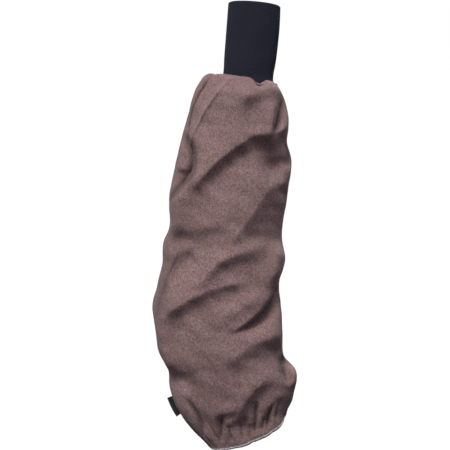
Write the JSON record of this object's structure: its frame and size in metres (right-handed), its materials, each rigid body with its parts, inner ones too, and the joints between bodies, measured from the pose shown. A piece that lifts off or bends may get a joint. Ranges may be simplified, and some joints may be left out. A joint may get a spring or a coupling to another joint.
{
  "type": "protective sleeve",
  "caption": "Loose cloth sleeve that guards the forearm and elbow, hanging in slanting folds from a close knit wrist cuff to a gathered elastic hem at the upper arm.",
  "frame": {"origin": "middle of the wrist cuff, where the wrist holds the sleeve", "axes": "+Z along the arm towards the hand, -Y out of the front of the sleeve, -X out of its side seam"},
  "size_m": [0.2143, 0.1294, 0.6596],
  "materials": {
    "navy_knit": "fine rib knit, matt, dark navy",
    "brown_cloth": "mottled twill, matt, brown with a mauve cast",
    "hem_cloth": "the body's twill, turned up round an elastic, with pale overlock thread",
    "black_ribbon": "woven ribbon, slight sheen"
  },
  "bodies": {
    "root": {"wrist_cuff": "navy_knit", "sleeve_body": "brown_cloth", "elastic_hem": "hem_cloth", "seam_label": "black_ribbon"}
  },
  "joints": []
}
